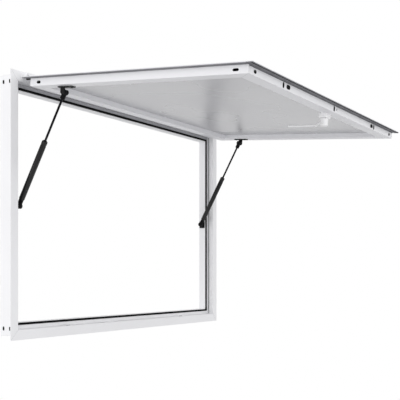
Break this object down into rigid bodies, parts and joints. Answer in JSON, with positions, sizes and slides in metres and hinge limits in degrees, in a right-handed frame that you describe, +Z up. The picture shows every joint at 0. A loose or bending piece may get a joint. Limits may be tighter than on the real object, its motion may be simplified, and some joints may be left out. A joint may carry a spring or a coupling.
{
  "type": "concession window",
  "caption": "Serving window: an aluminium wall frame with a top-hinged awning leaf held open by gas struts, with a gasket and an inner lock lever.",
  "frame": {"origin": "on the wall side of the frame's flange, at the middle of the bottom margin that lies on the wall", "axes": "+X along the width to the right seen from outside, +Y into the wall, +Z up"},
  "size_m": [1.04, 0.7209, 0.686],
  "materials": {
    "frame_coat": "satin powder coat",
    "leaf_coat": "satin powder coat",
    "panel_coat": "semi-gloss",
    "gasket_rubber": "matt",
    "seal_rubber": "matt",
    "buffer_rubber": "matt",
    "strut_black": "satin",
    "fitting_black": "satin",
    "lock_white": "gloss",
    "lock_steel": "brushed"
  },
  "bodies": {
    "frame": {"frame_head": "frame_coat", "frame_sill": "frame_coat", "frame_jamb_left": "frame_coat", "frame_jamb_right": "frame_coat", "hinge_channel": "frame_coat", "frame_gasket": "gasket_rubber", "sill_buffer_left": "buffer_rubber", "sill_buffer_right": "buffer_rubber", "lower_bracket_left": "fitting_black", "lower_bracket_right": "fitting_black"},
    "awning": {"awning_skin": "leaf_coat", "inner_panel": "panel_coat", "awning_rail_front": "leaf_coat", "awning_rail_rear": "leaf_coat", "awning_stile_left": "leaf_coat", "awning_stile_right": "leaf_coat", "hinge_leaf": "leaf_coat", "lip_seal": "seal_rubber", "upper_bracket_left": "fitting_black", "upper_bracket_right": "fitting_black", "lock_case": "lock_white", "key_cylinder": "lock_steel", "latch_left": "lock_steel", "latch_centre": "lock_steel", "latch_right": "lock_steel"},
    "lever": {"lock_lever": "lock_white"},
    "left_rod": {"rod_socket_left": "fitting_black", "strut_rod_left": "strut_black"},
    "left_cylinder": {"strut_cylinder_left": "strut_black", "cylinder_socket_left": "fitting_black"},
    "right_rod": {"rod_socket_right": "fitting_black", "strut_rod_right": "strut_black"},
    "right_cylinder": {"strut_cylinder_right": "strut_black", "cylinder_socket_right": "fitting_black"}
  },
  "joints": [
    {"name": "awning_hinge", "type": "hinge", "parent": "frame", "child": "awning", "pos_m": [0, -0.018, 0.6715], "axis": [-1, 0, 0], "range_deg": [-85.75, 0]},
    {"name": "lever_turn", "type": "hinge", "parent": "awning", "child": "lever", "pos_m": [0.016, -0.62492, 0.58047], "axis": [0, 0.0741, -0.9973], "range_deg": [0, 90]},
    {"name": "left_strut_swing", "type": "hinge", "parent": "awning", "child": "left_rod", "pos_m": [-0.46, -0.12726, 0.61695], "axis": [-1, 0, 0], "range_deg": [0, 115.07]},
    {"name": "left_strut_stroke", "type": "slide", "parent": "left_rod", "child": "left_cylinder", "axis": [0, 0.4883, -0.8727], "range_m": [-0.09896, 0]},
    {"name": "right_strut_swing", "type": "hinge", "parent": "awning", "child": "right_rod", "pos_m": [0.46, -0.12726, 0.61695], "axis": [-1, 0, 0], "range_deg": [0, 115.07]},
    {"name": "right_strut_stroke", "type": "slide", "parent": "right_rod", "child": "right_cylinder", "axis": [0, 0.4883, -0.8727], "range_m": [-0.09896, 0]}
  ],
  "couplings": [
    {"joint": "left_strut_swing", "follows": "awning_hinge", "ratio": -1.3418},
    {"joint": "left_strut_stroke", "follows": "awning_hinge", "m_per_rad": 0.066108},
    {"joint": "right_strut_swing", "follows": "awning_hinge", "ratio": -1.3418},
    {"joint": "right_strut_stroke", "follows": "awning_hinge", "m_per_rad": 0.066108}
  ]
}
